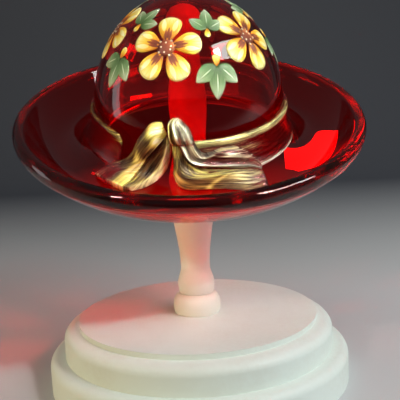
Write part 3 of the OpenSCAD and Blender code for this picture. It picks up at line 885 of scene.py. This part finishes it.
def studio_grey():
    """A pale floor that darkens towards the front and turns into a darker wall behind."""
    g = Graph("studio_grey")
    place = g.object_place()
    back = g.add("ShaderNodeSeparateXYZ", {"Vector": place}).outputs["Y"]
    to_wall, to_floor = (g.span(back, start * MM, end * MM, 0, 1) for start, end in (WALL_FADE, FRONT_FADE))
    pale = g.mix(g.noise(place, 6, 2), FLOOR_TONE, CLOUD_TONE)
    tone = g.mix(to_floor, FRONT_TONE, g.mix(to_wall, pale, WALL_TONE))
    surface = g.add("ShaderNodeBsdfPrincipled", {"Base Color": tone, "Roughness": 0.8})
    return g.show(surface.outputs[0])


bend = oval((FLOOR_BACK, SWEEP_R), SWEEP_R, SWEEP_R, -90, 0, CURVE_STEPS)
sweep = np.concatenate([[(FLOOR_FRONT, 0)], bend, [(FLOOR_BACK + SWEEP_R, SWEEP_TOP)]])
sides = [[(x, y, z) for y, z in sweep] for x in (-SWEEP_HALF, SWEEP_HALF)]
spans = [(k, len(sweep) + k, len(sweep) + k + 1, k + 1) for k in range(len(sweep) - 1)]
backdrop = mesh_object("backdrop", sides[0] + sides[1], spans, studio_grey(), Matrix.Scale(MM, 4))

# Light
SKY = (0.95, 0.97, 1.0)
SKY_STRENGTH = 0.1
WARM = (1.0, 0.97, 0.9)
COOL = (0.95, 1.0, 0.98)
AMBER = (1.0, 0.73, 0.26)
world = bpy.data.worlds.new("studio")
bpy.context.scene.world = world
world.use_nodes = True
sky = world.node_tree.nodes["Background"]
sky.inputs["Color"].default_value = (*SKY, 1)
sky.inputs["Strength"].default_value = SKY_STRENGTH


def soft_box(name, place, aim, size, power, colour=(1, 1, 1), spread=180, hidden=()):
    """A rectangular lamp at a place, turned to its aim; hidden lists the kinds of ray that don't see it."""
    light = bpy.data.lights.new(name, "AREA")
    light.shape = "RECTANGLE"
    light.size, light.size_y = (side * MM for side in size)
    light.energy = power
    light.color = colour
    light.spread = math.radians(spread)
    lamp = bpy.data.objects.new(name, light)
    lamp.location = Vector(place) * MM
    lamp.rotation_mode = "QUATERNION"
    lamp.rotation_quaternion = (Vector(aim) - Vector(place)).to_track_quat("-Z", "Y")
    bpy.context.scene.collection.objects.link(lamp)
    for kind in hidden:
        setattr(lamp, "visible_" + kind, False)


soft_box("key_light", (715, -477, 763), (0, 0, 120), (540, 300), 6.2, COOL)
soft_box("left_strip", (-930, 50, 260), (0, 0, 150), (200, 520), 0.6, SKY)
soft_box("bow_light", (400, -462, 566), (0, -62, 155), (90, 90), 0.045, WARM, spread=12)
soft_box("bow_fill", (-415, -540, 500), (-25, -76, 150), (90, 90), 0.016, WARM, spread=9)
soft_box("top_fill", (-150, -420, 1100), (0, -20, 120), (900, 700), 2.0, hidden=["glossy"])
soft_box("side_fill", (880, 160, 800), (0, -20, 120), (600, 400), 3.0, COOL,
         hidden=["glossy", "transmission"])
soft_box("low_fill", (900, -700, 240), (0, 0, 60), (500, 260), 1.2, COOL, hidden=["glossy"])
soft_box("warm_fill", (-900, -500, 160), (0, 0, 30), (560, 60), 3.6, AMBER, hidden=["glossy"])

# Lights that only the glass shows: in the lip and in the brim's wall, both on the right
soft_box("lip_light", (-920, 60, 728), (40, 90, 195), (360, 260), 3.4, WARM,
         hidden=["camera", "diffuse", "glossy"])
soft_box("bright_card", (105, 118, 110), (139, 24, 110), (40, 34), 0.0132, WARM,
         hidden=["camera", "diffuse"])

# Camera at the photograph's viewing angle
CAMERA_PLACE = (4.6, -386.9, 162.2)
CAMERA_PITCH = 8.32
CAMERA_ROLL = 2.71
SENSOR_WIDTH = 36.0
NEAREST = 10.0
FOCAL_PIXELS = 660.0
IMAGE_PIXELS = 400.0
camera = bpy.data.cameras.new("camera")
camera.sensor_width = SENSOR_WIDTH
camera.lens = SENSOR_WIDTH * FOCAL_PIXELS / IMAGE_PIXELS
camera.clip_start = NEAREST * MM
viewer = bpy.data.objects.new("camera", camera)
viewer.matrix_world = (Matrix.Translation(Vector(CAMERA_PLACE) * MM)
                       @ Matrix.Rotation(math.radians(90 - CAMERA_PITCH), 4, "X")
                       @ Matrix.Rotation(math.radians(-CAMERA_ROLL), 4, "Z"))
bpy.context.scene.collection.objects.link(viewer)
bpy.context.scene.camera = viewer
bpy.context.scene.view_settings.view_transform = "Standard"

# Light goes round inside the thick lip many times before it leaves
ALL_BOUNCES = 48
GLASS_BOUNCES = 40
bpy.context.scene.cycles.max_bounces = ALL_BOUNCES
bpy.context.scene.cycles.glossy_bounces = GLASS_BOUNCES
bpy.context.scene.cycles.transmission_bounces = GLASS_BOUNCES

bpy.context.view_layer.update()
